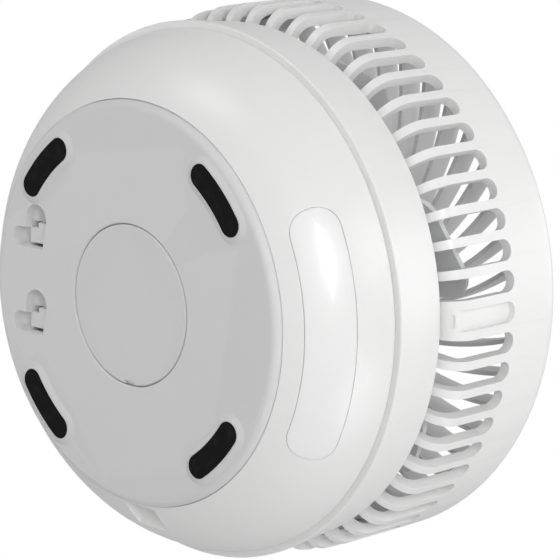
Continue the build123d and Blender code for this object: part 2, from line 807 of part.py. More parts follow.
# ================= head =================
# one slot: a wedge that crosses the rounded rear corner and ends in a half round
slot_tip_r = head_radius * math.sin(math.radians(slot_angle / 2))
with BuildPart() as slot_cutter:
    with BuildSketch(Plane.XY.offset(head_floor_z - head_gap)):
        with BuildLine():
            Polyline(
                polar(slot_inner_r, -slot_angle / 2),
                polar(head_radius + head_wall, -slot_angle / 2),
                polar(head_radius + head_wall, slot_angle / 2),
                polar(slot_inner_r, slot_angle / 2),
                close=True,
            )
        make_face()
    extrude(amount=slot_top_z - slot_tip_r - head_floor_z + head_gap)
    with BuildSketch(Plane.YZ.offset(head_inner_r - head_corner)):
        with Locations((0, slot_top_z - slot_tip_r)):
            Circle(slot_tip_r)
    extrude(amount=head_corner + 2 * head_wall)

with BuildPart() as vent_cutter:
    with BuildSketch(Plane.XY.offset(head_floor_z - head_gap)):
        with BuildLine():
            Polyline(
                polar(vent_inner_r, -vent_angle / 2),
                polar(vent_outer_r, -vent_angle / 2),
                polar(vent_outer_r, vent_angle / 2),
                polar(vent_inner_r, vent_angle / 2),
                close=True,
            )
        make_face()
        fillet(vertices(), vent_round)
    extrude(amount=2 * plate_wall + head_gap)

slot_angles = [first_slot + index * slot_pitch for index in range(slot_count)]
blind_angles = slot_angles[::blind_every]
hinge_half_angle = math.degrees(math.asin(hinge_block_half / head_radius)) + slot_angle / 2
hinge_angles = [angle for angle in slot_angles if abs(angle - 90) < hinge_half_angle]
open_angles = [angle for angle in slot_angles if angle not in blind_angles and angle not in hinge_angles]

with BuildPart() as rear_guard:
    with BuildSketch(Plane.XZ):
        with BuildLine():
            lip_z = head_top_z - head_lip
            lip_rise = math.sqrt(head_lip ** 2 - (head_lip - head_wall) ** 2)
            floor = Line((0, head_floor_z), (head_radius - head_corner, head_floor_z))
            corner = TangentArc(floor @ 1, (head_radius, head_floor_z + head_corner), tangent=(1, 0))
            side = Line(corner @ 1, (head_radius, lip_z))
            lip = TangentArc(side @ 1, (head_inner_r, lip_z + lip_rise), tangent=(0, 1))
            inner_side = Line(lip @ 1, (head_inner_r, head_floor_z + head_corner))
            inner_floor = (head_radius - head_corner, head_floor_z + head_wall)
            inner_corner = TangentArc(inner_side @ 1, inner_floor, tangent=(0, -1))
            Polyline(
                inner_corner @ 1,
                (slot_inner_r - slot_margin, head_floor_z + head_wall),
                (slot_inner_r - slot_margin, plate_z),
                (0, plate_z),
                floor @ 0,
            )
        make_face()
    revolve(axis=Axis.Z)
    # ribs behind the blind slots, and the block that takes the hinge leaf
    with BuildSketch(Plane.XY.offset(plate_z)):
        for angle in blind_angles:
            with Locations(polar(head_inner_r - rib_r / 2, angle)):
                Circle(rib_r)
        Circle(head_inner_r + head_wall / 2, mode=Mode.INTERSECT)
    extrude(amount=guard_low_z - plate_z)
    with BuildSketch(Plane.XY.offset(head_floor_z + head_wall / 2)):
        with Locations((0, hinge_pad_y)):
            Rectangle(2 * hinge_block_half, head_radius - hinge_pad_y, align=(Align.CENTER, Align.MIN))
        Circle(head_radius - head_corner / 2, mode=Mode.INTERSECT)
    extrude(amount=hinge_pad_z - head_floor_z - head_wall / 2)
    with BuildSketch(Plane.XY.offset(head_floor_z + head_corner / 2)):
        with Locations((0, hinge_pad_y)):
            Rectangle(2 * hinge_block_half, head_radius - hinge_pad_y, align=(Align.CENTER, Align.MIN))
        Circle(head_inner_r + head_wall / 4, mode=Mode.INTERSECT)
        Circle(blade_tip_r + blade_clear, mode=Mode.SUBTRACT)
    extrude(amount=hinge_block_top_z - head_floor_z - head_corner / 2)
    # slots, blind slots and the vents of the rear plate
    add([slot_cutter.part.rotate(Axis.Z, angle) for angle in open_angles], mode=Mode.SUBTRACT)
    for angle in blind_angles:
        if angle not in hinge_angles:
            with BuildSketch(Plane.YZ.rotated((0, 0, angle)).offset(head_radius - blind_depth)):
                with Locations((0, slot_top_z - slot_tip_r)):
                    Circle(slot_tip_r)
                    Rectangle(2 * slot_tip_r, slot_top_z, align=(Align.CENTER, Align.MAX))
            extrude(amount=head_wall, mode=Mode.SUBTRACT)
    vent_angles = [(index + 0.5) * 360 / vent_count for index in range(vent_count)]
    add([vent_cutter.part.rotate(Axis.Z, angle) for angle in vent_angles], mode=Mode.SUBTRACT)
    # room for the hinge: the leaf, its screws and the base's ears
    with Locations((0, hinge_y, head_floor_z)):
        Box(
            2 * (leaf_half + leaf_fit),
            leaf_reach + leaf_fit,
            leaf_wall,
            align=(Align.CENTER, Align.MAX, Align.MIN),
            mode=Mode.SUBTRACT,
        )
    with Locations(Location((0, hinge_y, hinge_z), (0, 90, 0))):
        Cylinder(knuckle_r + leaf_fit, 2 * (leaf_half + leaf_fit), mode=Mode.SUBTRACT)
    for side_sign in (-1, 1):
        ear_middle = side_sign * (ear_x + ear_width / 2 - washer_wall)
        with Locations(Location((ear_middle, hinge_y, hinge_z), (0, 90, 0))):
            Cylinder(knuckle_r + knuckle_clear, ear_width + 4 * knuckle_clear, mode=Mode.SUBTRACT)
    with BuildSketch(Plane.XY.offset(head_floor_z)):
        with Locations((0, leaf_screw_y)):
            with GridLocations(leaf_half, leaf_half / 1.5, 2, 2):
                Circle(leaf_screw_r)
    extrude(amount=hinge_pad_z - head_floor_z - screw_tip_gap, mode=Mode.SUBTRACT)
write(rear_guard.part, "rear_guard")

with BuildPart() as front_guard:
    with BuildSketch(Plane.XY.offset(guard_low_z)):
        Circle(guard_outer_r)
        Circle(guard_inner_r, mode=Mode.SUBTRACT)
    extrude(amount=guard_high_z - guard_low_z)
    top_edges = front_guard.edges().group_by(Axis.Z)[-1].sort_by(SortBy.LENGTH)
    fillet(top_edges[0], guard_edge)
    fillet(front_guard.edges().group_by(Axis.Z)[-1].sort_by(SortBy.LENGTH)[-1], guard_edge / 4)
    with BuildSketch(Plane.XY.offset(vane_top_z - vane_depth)):
        Circle(guard_plate_r)
    extrude(amount=vane_depth)
    with BuildSketch(Plane.XY.offset(vane_top_z - vane_depth)):
        Circle(guard_plate_r - guard_plate_wall)
    extrude(amount=vane_depth - guard_plate_wall, mode=Mode.SUBTRACT)
    # swirl vanes from the middle plate to the ring
    swirl = math.degrees(math.tan(math.radians(vane_swirl)))
    vane_radii = (guard_plate_r - vane_wall, (guard_plate_r + guard_inner_r) / 2, guard_inner_r + vane_wall)
    vane_points = [polar(radius, -swirl * math.log(radius / vane_radii[0])) for radius in vane_radii]
    with BuildSketch(Plane.XY.offset(vane_top_z - vane_depth)):
        with PolarLocations(0, vane_count):
            SlotArc(ThreePointArc(*vane_points, mode=Mode.PRIVATE), vane_wall)
    extrude(amount=vane_depth)
write(front_guard.part, "front_guard")

with BuildPart() as front_badge:
    with BuildSketch(Plane.XY.offset(vane_top_z)):
        Circle(badge_radius)
    extrude(amount=badge_wall)
    fillet(front_badge.edges().group_by(Axis.Z)[-1], badge_wall / 2)
write(front_badge.part, "front_badge")

# ---- motor ----
with BuildPart() as motor_mount:
    with BuildSketch(Plane.XY.offset(plate_z)):
        Circle(motor_boss_r)
    extrude(amount=motor_boss_wall)
    with BuildSketch(Plane.XY.offset(plate_z)):
        Circle(tube_r)
    extrude(amount=tube_top_z - plate_z)
    with BuildSketch(Plane.XY.offset(plate_z)):
        Circle(bearing_r)
    extrude(amount=tube_top_z - plate_z, mode=Mode.SUBTRACT)
    with BuildSketch(Plane.XY.offset(plate_z + bearing_wall + bearing_float)):
        Circle(bearing_r)
        Circle(bearing_r - tube_shoulder, mode=Mode.SUBTRACT)
    extrude(amount=tube_top_z - plate_z - 2 * bearing_wall - bearing_float)
    with BuildSketch(Plane.XY.offset(plate_z)):
        with PolarLocations(mount_screw_ring_r, 3, start_angle=30):
            Circle(mount_screw_r)
    extrude(amount=motor_boss_wall, mode=Mode.SUBTRACT)
write(motor_mount.part, "motor_mount")

with BuildPart() as mount_screws:
    with BuildSketch(Plane.XY.offset(plate_z)):
        with PolarLocations(mount_screw_ring_r, 3, start_angle=30):
            Circle(mount_screw_r)
    extrude(amount=motor_boss_wall)
    with BuildSketch(Plane.XY.offset(plate_z + motor_boss_wall)):
        with PolarLocations(mount_screw_ring_r, 3, start_angle=30):
            Circle(2 * mount_screw_r)
    extrude(amount=mount_screw_r)
write(mount_screws.part, "mount_screws")

for name, low_z in (("rear", plate_z + bearing_float), ("front", tube_top_z - bearing_wall)):
    with BuildPart() as bearing:
        with BuildSketch(Plane.XY.offset(low_z)):
            Circle(bearing_r)
            Circle(shaft_r + shaft_fit, mode=Mode.SUBTRACT)
        extrude(amount=bearing_wall)
    write(bearing.part, name + "_bearing")

tooth_r = stator_r - tooth_face
yoke_r = tube_r + stator_yoke
coil_half = tooth_width / 2 + coil_gap + coil_wall
coil_r = math.sqrt(tooth_r ** 2 - coil_half ** 2)
with BuildPart() as stator_core:
    with BuildSketch(Plane.XY.offset(stator_low_z)):
        Circle(stator_r)
        Circle(tooth_r, mode=Mode.SUBTRACT)
        Circle(yoke_r)
        with PolarLocations((yoke_r + tooth_r) / 2, stator_teeth):
            Rectangle(tooth_r - yoke_r + tooth_face, tooth_width)
        with PolarLocations(stator_r, stator_teeth, start_angle=180 / stator_teeth):
            Rectangle(3 * tooth_face, stator_mouth, mode=Mode.SUBTRACT)
        Circle(tube_r, mode=Mode.SUBTRACT)
    extrude(amount=stator_height)
write(stator_core.part, "stator_core")

# one winding round each tooth, standing a little above and below the core
with BuildPart() as stator_coils:
    with BuildSketch(Plane.XY.offset(stator_low_z - coil_gap - coil_wall)):
        with PolarLocations((yoke_r + coil_r) / 2, stator_teeth):
            Rectangle(coil_r - yoke_r - 2 * coil_gap, 2 * coil_half)
    extrude(amount=stator_height + 2 * (coil_gap + coil_wall))
    with BuildSketch(Plane.XY.offset(stator_low_z - coil_gap)):
        with PolarLocations((yoke_r + tooth_r) / 2, stator_teeth):
            Rectangle(tooth_r - yoke_r, tooth_width + 2 * coil_gap)
    extrude(amount=stator_height + 2 * coil_gap, mode=Mode.SUBTRACT)
write(stator_coils.part, "stator_coils")

with BuildPart() as rotor_shaft:
    with BuildSketch(Plane.XY.offset(shaft_low_z)):
        Circle(shaft_r)
    extrude(amount=shaft_high_z - shaft_low_z)
write(rotor_shaft.part, "rotor_shaft")

with BuildPart() as magnet_ring:
    with BuildSketch(Plane.XY.offset(can_low_z)):
        Circle(magnet_r)
        Circle(magnet_r - magnet_wall, mode=Mode.SUBTRACT)
    extrude(amount=stator_height + 2)
write(magnet_ring.part, "magnet_ring")

can_top_z = hub_top_z - hub_wall
with BuildPart() as rotor_can:
    with BuildSketch(Plane.XY.offset(can_low_z)):
        Circle(can_r)
    extrude(amount=can_top_z - can_low_z)
    with BuildSketch(Plane.XY.offset(can_low_z)):
        Circle(magnet_r)
    extrude(amount=can_top_z - can_wall - can_low_z, mode=Mode.SUBTRACT)
    with BuildSketch(Plane.XY.offset(can_low_z)):
        Circle(shaft_r)
    extrude(amount=can_top_z, mode=Mode.SUBTRACT)
write(rotor_can.part, "rotor_can")

# ---- impeller: twisted blades with rounded tips on a hub ----
with BuildPart() as blade:
    for radius, chord_length, pitch in (
        (hub_r - impeller_hub_wall / 2, root_chord, root_pitch),
        (blade_tip_r, tip_chord, tip_pitch),
    ):
        section = Plane(origin=(radius, 0, blade_z), x_dir=(0, 1, 0), z_dir=(1, 0, 0))
        with BuildSketch(section):
            Rectangle(chord_length, blade_wall, rotation=pitch)
    loft()
    tip_edges = blade.edges().group_by(Axis.X)[-1].filter_by(lambda edge: edge.length < 2 * blade_wall)
    fillet(tip_edges, blade_corner)

with BuildPart() as impeller:
    with BuildSketch(Plane.XY.offset(hub_low_z)):
        Circle(hub_r)
    extrude(amount=hub_top_z - hub_low_z)
    fillet(impeller.edges().group_by(Axis.Z)[-1], hub_wall)
    for index in range(blade_count):
        add(blade.part.rotate(Axis.Z, blade_phase + index * 360 / blade_count))
    with BuildSketch(Plane.XY.offset(head_floor_z)):
        Circle(can_r)
    extrude(amount=can_top_z - head_floor_z, mode=Mode.SUBTRACT)
    with BuildSketch(Plane.XY.offset(head_floor_z)):
        Circle(shaft_r)
    extrude(amount=head_top_z - head_floor_z, mode=Mode.SUBTRACT)
write(impeller.part, "impeller")

with BuildPart() as spinner_nut:
    with BuildSketch(Plane.XY.offset(hub_top_z)):
        Circle(spinner_r)
    extrude(amount=spinner_height)
    fillet(spinner_nut.edges().group_by(Axis.Z)[-1], spinner_height / 2)
    with BuildSketch(Plane.XY.offset(hub_top_z)):
        Circle(shaft_r)
    extrude(amount=shaft_high_z - hub_top_z, mode=Mode.SUBTRACT)
write(spinner_nut.part, "spinner_nut")
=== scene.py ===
import json
import math

import bmesh
import bpy
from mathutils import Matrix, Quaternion, Vector


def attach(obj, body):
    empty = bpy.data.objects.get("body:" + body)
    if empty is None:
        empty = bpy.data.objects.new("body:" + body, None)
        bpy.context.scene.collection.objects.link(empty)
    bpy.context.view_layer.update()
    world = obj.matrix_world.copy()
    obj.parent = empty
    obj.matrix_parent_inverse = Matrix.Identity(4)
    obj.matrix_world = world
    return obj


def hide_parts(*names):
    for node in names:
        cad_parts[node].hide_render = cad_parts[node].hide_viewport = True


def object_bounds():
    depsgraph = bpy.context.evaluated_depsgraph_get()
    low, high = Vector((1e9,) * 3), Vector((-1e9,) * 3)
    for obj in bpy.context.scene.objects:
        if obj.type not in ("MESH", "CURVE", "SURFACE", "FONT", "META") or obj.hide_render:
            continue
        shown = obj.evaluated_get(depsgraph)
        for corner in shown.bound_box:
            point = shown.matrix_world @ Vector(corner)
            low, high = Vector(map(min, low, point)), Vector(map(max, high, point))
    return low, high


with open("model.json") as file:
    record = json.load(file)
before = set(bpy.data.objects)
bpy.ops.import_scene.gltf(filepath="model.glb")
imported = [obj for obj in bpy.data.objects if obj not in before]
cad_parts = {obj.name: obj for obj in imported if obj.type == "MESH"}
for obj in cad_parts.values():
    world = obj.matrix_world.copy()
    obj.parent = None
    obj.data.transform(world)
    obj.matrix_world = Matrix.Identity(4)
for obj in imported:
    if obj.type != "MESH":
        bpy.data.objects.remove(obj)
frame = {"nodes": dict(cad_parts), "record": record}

cadLow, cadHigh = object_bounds()
nodes = frame["nodes"]
bodyOf = {node: body for body, group in frame["record"]["behaviour"]["bodies"].items() for node in group}
slotOf = {part["node"]: part["material_slot"] for part in frame["record"]["subparts"]}
print("frame loaded,", len(nodes), "parts")


class Value:
    def __init__(self, graph, socket):
        self.graph = graph
        self.socket = socket

    def math(self, operation, *others):
        return self.graph.add("ShaderNodeMath", {"operation": operation}, (self, *others)).out(0)

    def __add__(self, other):
        return self.math("ADD", other)

    def __sub__(self, other):
        return self.math("SUBTRACT", other)

    def __rsub__(self, other):
        return self.graph.add("ShaderNodeMath", {"operation": "SUBTRACT"}, (other, self)).out(0)

    def __mul__(self, other):
        return self.math("MULTIPLY", other)

    def __gt__(self, other):
        return self.math("GREATER_THAN", other)

    def __lt__(self, other):
        return self.math("LESS_THAN", other)

    def __abs__(self):
        return self.math("ABSOLUTE")

    __radd__ = __add__
    __rmul__ = __mul__


class Made:
    def __init__(self, graph, node):
        self.graph = graph
        self.node = node

    def out(self, key):
        return Value(self.graph, self.node.outputs[key])


class Graph:
    def __init__(self, name):
        self.material = bpy.data.materials.new(name)
        self.material.use_nodes = True
        self.tree = self.material.node_tree
        self.shader = self.tree.nodes["Principled BSDF"]
        self.place = self.add("ShaderNodeTexCoord").out("Object")

    # one node: its settings first, then its sockets by name or in order
    def add(self, kind, settings=None, sockets=None):
        node = self.tree.nodes.new(kind)
        for key, value in (settings or {}).items():
            if key == "stops":
                self.setStops(node.color_ramp, value)
            else:
                setattr(node, key, value)
        pairs = sockets.items() if isinstance(sockets, dict) else enumerate(sockets or ())
        for key, value in pairs:
            self.feed(node.inputs[key], value)
        return Made(self, node)

    def setStops(self, ramp, stops):
        while len(ramp.elements) < len(stops):
            ramp.elements.new(0.5)
        for element, (position, shade) in zip(ramp.elements, stops):
            element.position = position
            element.color = (*shade, 1) if len(shade) == 3 else shade

    def feed(self, socket, value):
        if isinstance(value, Value):
            self.tree.links.new(value.socket, socket)
        elif hasattr(socket.default_value, "__len__") and len(value) < len(socket.default_value):
            socket.default_value = (*value, 1)
        else:
            socket.default_value = value

    def set(self, **values):
        for name, value in values.items():
            words = "".join(" " + c if c.isupper() else c for c in name).strip()
            socket = words.title().replace("Ior", "IOR")
            self.feed(self.shader.inputs[socket], value)

    def noise(self, size, detail=2, stretch=(1, 1, 1), rough=0.5):
        spot = self.add("ShaderNodeMapping", {}, {"Vector": self.place, "Scale": stretch}).out(0)
        sockets = {"Vector": spot, "Scale": 1 / size, "Detail": detail, "Roughness": rough}
        return self.add("ShaderNodeTexNoise", {}, sockets).out("Fac")

    def mix(self, mask, first, second):
        made = self.add("ShaderNodeMix", {"data_type": "RGBA"})
        self.feed(made.node.inputs[0], mask)
        self.feed(made.node.inputs[6], first)
        self.feed(made.node.inputs[7], second)
        return made.out(2)

    def bump(self, height, depth, strength=1.0):
        sockets = {"Height": height, "Distance": depth, "Strength": strength}
        self.set(normal=self.add("ShaderNodeBump", {}, sockets).out(0))


def shade(colour, factor):
    return tuple(min(1.0, channel * factor) for channel in colour)


# what all the mouldings share: flow clouds, and convex edges made a little glossier and lightened as a
# painted highlight
moulding = {
    "cloudSize": 0.03,
    "edgeFrom": 0.505,
    "edgeTo": 0.56,
    "edgeHighlightMix": 0.5,
    "edgeGloss": 0.08,
    "cloudGloss": 0.05,
    "grainGloss": 0.1,
    "coatRoughness": 0.25,
}


# moulded plastic: spark-eroded grain under the shared clouds, with glossier convex edges carrying a painted
# highlight
def mouldedPlastic(name, look):
    graph = Graph(name)
    clouds = graph.noise(moulding["cloudSize"], 3)
    grain = graph.noise(look["grain"], 3, rough=0.6)
    edge = graph.add("ShaderNodeNewGeometry").out("Pointiness")
    reach = (edge, moulding["edgeFrom"], moulding["edgeTo"], 0.0, 1.0)
    edgeHighlightAndGloss = graph.add("ShaderNodeMapRange", {}, reach).out(0)
    base = graph.mix(clouds, shade(look["colour"], 0.99), shade(look["colour"], 1.01))
    speck = graph.mix(grain * look["speckle"], base, shade(look["colour"], 0.82))
    gloss = (clouds - 0.5) * moulding["cloudGloss"] + (grain - 0.5) * moulding["grainGloss"]
    graph.set(
        # painted highlight: convex edges (by Pointiness) are lightened toward 1.06 of the colour and made
        # glossier
        baseColor=graph.mix(edgeHighlightAndGloss * moulding["edgeHighlightMix"], speck, shade(look["colour"], 1.06)),
        roughness=look["roughness"] + gloss - edgeHighlightAndGloss * moulding["edgeGloss"],
        coatWeight=look.get("coat", 0.0),
        coatRoughness=moulding["coatRoughness"],
    )
    graph.bump(grain, look["depth"])
    return graph.material


def rubber(name, look):
    graph = Graph(name)
    grain = graph.noise(look["grain"], 4, rough=0.7)
    dust = graph.noise(0.004, 3)
    chalk = graph.add("ShaderNodeMapRange", {}, (dust, 0.52, 0.75, 0.0, look["chalk"])).out(0)
    graph.set(
        baseColor=graph.mix(chalk, look["colour"], (0.16, 0.16, 0.165)),
        roughness=look["roughness"] + (grain - 0.5) * 0.2,
        specularIorLevel=look["shine"],
    )
    graph.bump(grain, look["depth"])
    return graph.material


# milky diffuser: light scatters a little under a smooth face
def diffuser(name, look):
    graph = Graph(name)
    clouds = graph.noise(0.012, 2)
    grain = graph.noise(look["grain"], 2)
    graph.set(
        baseColor=graph.mix(clouds, shade(look["colour"], 0.97), look["colour"]),
        roughness=look["roughness"] + (grain - 0.5) * 0.1,
        subsurfaceWeight=look["scatter"],
        subsurfaceRadius=(0.006, 0.006, 0.005),
        subsurfaceScale=0.5,
        emissionColor=graph.mix(clouds, shade(look["glow"], 0.92), look["glow"]),
        emissionStrength=look["strength"],
        coatWeight=0.3,
        coatRoughness=0.12,
    )
    graph.bump(grain, look["depth"])
    return graph.material


# metal with fine lines along one direction and a few duller patches
def metal(name, look):
    graph = Graph(name)
    lines = graph.noise(look["line"], 4, look["stretch"], 0.65)
    patches = graph.noise(0.004, 2)
    graph.set(
        baseColor=graph.mix(patches, shade(look["colour"], 0.9), shade(look["colour"], 1.05)),
        metallic=1.0,
        roughness=look["roughness"] + (lines - 0.5) * 0.25 + (patches - 0.5) * 0.1,
    )
    graph.bump(lines, look["depth"])
    return graph.material


# enamelled wire: turns stacked along the teeth, each a round with painted shade darkening its edges in the
# creases between turns
def windings(name, look):
    graph = Graph(name)
    sockets = {"Vector": graph.place, "Scale": 1 / look["wire"] / 3, "Distortion": 0.6, "Detail": 1}
    turnBandsWithShade = graph.add("ShaderNodeTexWave", {"bands_direction": "DIAGONAL"}, sockets).out("Fac")
    tone = graph.noise(0.002, 2)
    graph.set(
        # painted shade: the creases between turns are darkened to 0.45 of the wire colour
        baseColor=graph.mix(turnBandsWithShade, shade(look["colour"], 0.45), look["colour"]),
        metallic=0.85,
        roughness=0.28 + (tone - 0.5) * 0.15,
        coatWeight=0.6,
    )
    graph.bump(turnBandsWithShade, look["depth"])
    return graph.material


# solder resist over copper tracks on a grid, with tinned dots
def circuit(name, look):
    graph = Graph(name)
    sockets = {"Vector": graph.place, "Scale": 1 / look["pitch"], "Mortar Size": 0.06, "Brick Width": 1.6}
    tracks = graph.add("ShaderNodeTexBrick", {"offset": 0.37}, sockets).out("Fac")
    cells = {"Vector": graph.place, "Scale": 1 / look["pitch"] / 1.7, "Randomness": 0.85}
    pads = graph.add("ShaderNodeTexVoronoi", {}, cells).out("Distance") < 0.16
    grain = graph.noise(0.0006, 2)
    mask = graph.mix(tracks, look["colour"], shade(look["colour"], 1.9))
    graph.set(
        baseColor=graph.mix(pads, mask, look["tin"]),
        metallic=pads * 0.9,
        roughness=0.35 + (grain - 0.5) * 0.2,
        coatWeight=0.3,
    )
    graph.bump(tracks + pads * 0.7 + grain * 0.2, look["depth"])
    return graph.material


# battery cell: printed-free shrink sleeve, bare steel at both ends
def sleevedCell(name, look):
    graph = Graph(name)
    split = graph.add("ShaderNodeSeparateXYZ", {}, (graph.place,)).out("X")
    bare = abs(split) > look["sleeveEnd"]
    wrinkle = graph.noise(0.0016, 3, (0.2, 1, 1))
    sleeve = graph.mix(wrinkle, shade(look["colour"], 0.85), look["colour"])
    graph.set(
        baseColor=graph.mix(bare, sleeve, look["steel"]),
        metallic=bare * 1.0,
        roughness=0.3 + (wrinkle - 0.5) * 0.2,
        coatWeight=0.3,
    )
    graph.bump(wrinkle, look["depth"])
    return graph.material


# thin laminations stacked along the motor's axis
def laminations(name, look):
    graph = Graph(name)
    sockets = {"Vector": graph.place, "Scale": 1 / look["sheet"] / 6.3, "Detail": 0}
    sheets = graph.add("ShaderNodeTexWave", {"bands_direction": "Z"}, sockets).out("Fac")
    stain = graph.noise(0.003, 3)
    graph.set(
        baseColor=graph.mix(sheets, shade(look["colour"], 0.55), look["colour"]),
        metallic=0.9,
        roughness=0.42 + (stain - 0.5) * 0.3,
    )
    graph.bump(sheets, look["depth"])
    return graph.material


white = (0.80, 0.80, 0.795)
looks = {
    "shell_white": (mouldedPlastic, {"colour": white, "roughness": 0.33, "grain": 0.0009, "depth": 0.000012,
                                     "coat": 0.25, "speckle": 0.03}),
    "deck_white": (mouldedPlastic, {"colour": white, "roughness": 0.36, "grain": 0.0009, "depth": 0.000012,
                                    "coat": 0.2, "speckle": 0.03}),
    "head_white": (mouldedPlastic, {"colour": white, "roughness": 0.38, "grain": 0.0008, "depth": 0.000015,
                                    "coat": 0.15, "speckle": 0.04}),
    "guard_white": (mouldedPlastic, {"colour": (0.78, 0.78, 0.78), "roughness": 0.4, "grain": 0.0008,
                                     "depth": 0.000015, "speckle": 0.04}),
    "badge_grey": (mouldedPlastic, {"colour": (0.66, 0.67, 0.68), "roughness": 0.22, "grain": 0.0012,
                                    "depth": 0.000006, "coat": 0.5, "speckle": 0.03}),
    "window_diffuser": (diffuser, {"colour": (0.86, 0.86, 0.855), "roughness": 0.3, "grain": 0.0011,
                                   "depth": 0.000006, "scatter": 0.25, "glow": (1.0, 0.99, 0.97),
                                   "strength": 0.0}),
    "pan_grey": (mouldedPlastic, {"colour": (0.66, 0.66, 0.665), "roughness": 0.55, "grain": 0.0007,
                                  "depth": 0.00004, "speckle": 0.1}),
    "cover_grey": (mouldedPlastic, {"colour": (0.655, 0.655, 0.66), "roughness": 0.56, "grain": 0.0007,
                                    "depth": 0.00004, "speckle": 0.1}),
    "pad_black": (rubber, {"colour": (0.005, 0.005, 0.0055), "roughness": 0.85, "grain": 0.0006,
                           "depth": 0.00006, "chalk": 0.05, "shine": 0.15}),
    "impeller_grey": (mouldedPlastic, {"colour": (0.74, 0.745, 0.755), "roughness": 0.4, "grain": 0.001,
                                       "depth": 0.000015, "speckle": 0.05}),
    "spinner_grey": (mouldedPlastic, {"colour": (0.5, 0.51, 0.53), "roughness": 0.25, "grain": 0.001,
                                      "depth": 0.000008, "coat": 0.4, "speckle": 0.05}),
    "inner_black": (mouldedPlastic, {"colour": (0.03, 0.03, 0.032), "roughness": 0.5, "grain": 0.0008,
                                     "depth": 0.00003, "speckle": 0.3}),
    "button_white": (mouldedPlastic, {"colour": (0.82, 0.82, 0.815), "roughness": 0.34, "grain": 0.0007,
                                      "depth": 0.00001, "coat": 0.3, "speckle": 0.03}),
    "washer_white": (mouldedPlastic, {"colour": (0.85, 0.84, 0.8), "roughness": 0.4, "grain": 0.0004,
                                      "depth": 0.00001, "speckle": 0.05}),
    "chip_black": (mouldedPlastic, {"colour": (0.025, 0.025, 0.027), "roughness": 0.45, "grain": 0.0003,
                                    "depth": 0.00002, "speckle": 0.3}),
    "magnet_grey": (mouldedPlastic, {"colour": (0.13, 0.13, 0.14), "roughness": 0.5, "grain": 0.0003,
                                     "depth": 0.00002, "speckle": 0.4}),
    "led_yellow": (diffuser, {"colour": (0.9, 0.78, 0.35), "roughness": 0.3, "grain": 0.0004,
                              "depth": 0.00001, "scatter": 0.1, "glow": (1.0, 0.9, 0.6), "strength": 0.05}),
    "lens_clear": (diffuser, {"colour": (0.85, 0.9, 0.92), "roughness": 0.1, "grain": 0.0005,
                              "depth": 0.000004, "scatter": 0.2, "glow": (0.8, 0.95, 1.0),
                              "strength": 0.05}),
    "cell_blue": (sleevedCell, {"colour": (0.03, 0.12, 0.38), "steel": (0.6, 0.6, 0.61), "sleeveEnd": 0.0305,
                                "depth": 0.00005}),
    "board_green": (circuit, {"colour": (0.01, 0.11, 0.045), "tin": (0.7, 0.7, 0.7), "pitch": 0.0022,
                              "depth": 0.00003}),
    "steel": (metal, {"colour": (0.6, 0.6, 0.61), "roughness": 0.32, "line": 0.0006,
                      "stretch": (0.08, 1, 1), "depth": 0.00001}),
    "bearing_steel": (metal, {"colour": (0.66, 0.66, 0.67), "roughness": 0.2, "line": 0.0005,
                              "stretch": (1, 1, 0.1), "depth": 0.000004}),
    "port_metal": (metal, {"colour": (0.55, 0.55, 0.56), "roughness": 0.3, "line": 0.0005,
                           "stretch": (0.1, 1, 1), "depth": 0.000008}),
    "motor_metal": (metal, {"colour": (0.56, 0.56, 0.58), "roughness": 0.42, "line": 0.0008,
                            "stretch": (1, 1, 1), "depth": 0.00003}),
    "core_steel": (laminations, {"colour": (0.3, 0.3, 0.31), "sheet": 0.0005, "depth": 0.00003}),
    "copper": (windings, {"colour": (0.72, 0.3, 0.12), "wire": 0.00035, "depth": 0.00008}),
}
materials = {name: make(name, look) for name, (make, look) in looks.items()}
for name, part in nodes.items():
    if not part.material_slots:
        part.data.materials.append(None)
    for slot in part.material_slots:
        slot.material = materials[slotOf[name]]
print("materials made,", len(materials))

# visible mouldings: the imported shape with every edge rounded, as a moulding tool leaves it
edgeRadii = {
    "rear_guard": 0.0005,
    "front_guard": 0.0003,
    "base_pan": 0.0003,
    "base_shell": 0.00025,
    "deck_shell": 0.0003,
    "light_window": 0.00015,
    "service_cover": 0.0002,
    "foot_port_back": 0.0003,
    "foot_far_back": 0.0003,
    "foot_far_front": 0.0003,
    "foot_port_front": 0.0003,
    "impeller": 0.0003,
    "front_badge": 0.0002,
    "spinner_nut": 0.0003,
    "speed_button": 0.0002,
    "light_button": 0.0002,
    "hinge_leaf": 0.0003,
    "hinge_pin": 0.0002,
    "usb_socket": 0.00006,
}


flatArea = 0.0005  # square metres: only a flat face is this large
joining = {"gap": 0.000002, "flatAngle": 0.5}
bevelling = {"segments": 2, "fromAngle": 32}


def joinedCopy(node):
    mesh = nodes[node].data.copy()
    mesh.name = node + "_moulded"
    sheet = bmesh.new()
    sheet.from_mesh(mesh)
    bmesh.ops.remove_doubles(sheet, verts=sheet.verts, dist=joining["gap"])
    bmesh.ops.dissolve_degenerate(sheet, edges=sheet.edges, dist=joining["gap"])
    bmesh.ops.dissolve_limit(
        sheet,
        angle_limit=math.radians(joining["flatAngle"]),
        verts=sheet.verts,
        edges=sheet.edges,
        delimit={"SHARP"},
    )
    sheet.to_mesh(mesh)
    sheet.free()
    return mesh


def rounded(node, radius):
    piece = bpy.data.objects.new(node + "_moulded", joinedCopy(node))
    bpy.context.scene.collection.objects.link(piece)
    for polygon in piece.data.polygons:
        polygon.use_smooth = polygon.area < flatArea
    bevel = piece.modifiers.new("edges", "BEVEL")
    bevel.width = radius
    bevel.segments = bevelling["segments"]
    bevel.limit_method = "ANGLE"
    bevel.angle_limit = math.radians(bevelling["fromAngle"])
    bevel.use_clamp_overlap = True
    bevel.harden_normals = True
    weighted = piece.modifiers.new("flats", "WEIGHTED_NORMAL")
    weighted.keep_sharp = True
    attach(piece, bodyOf[node])
    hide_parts(node)
    return piece


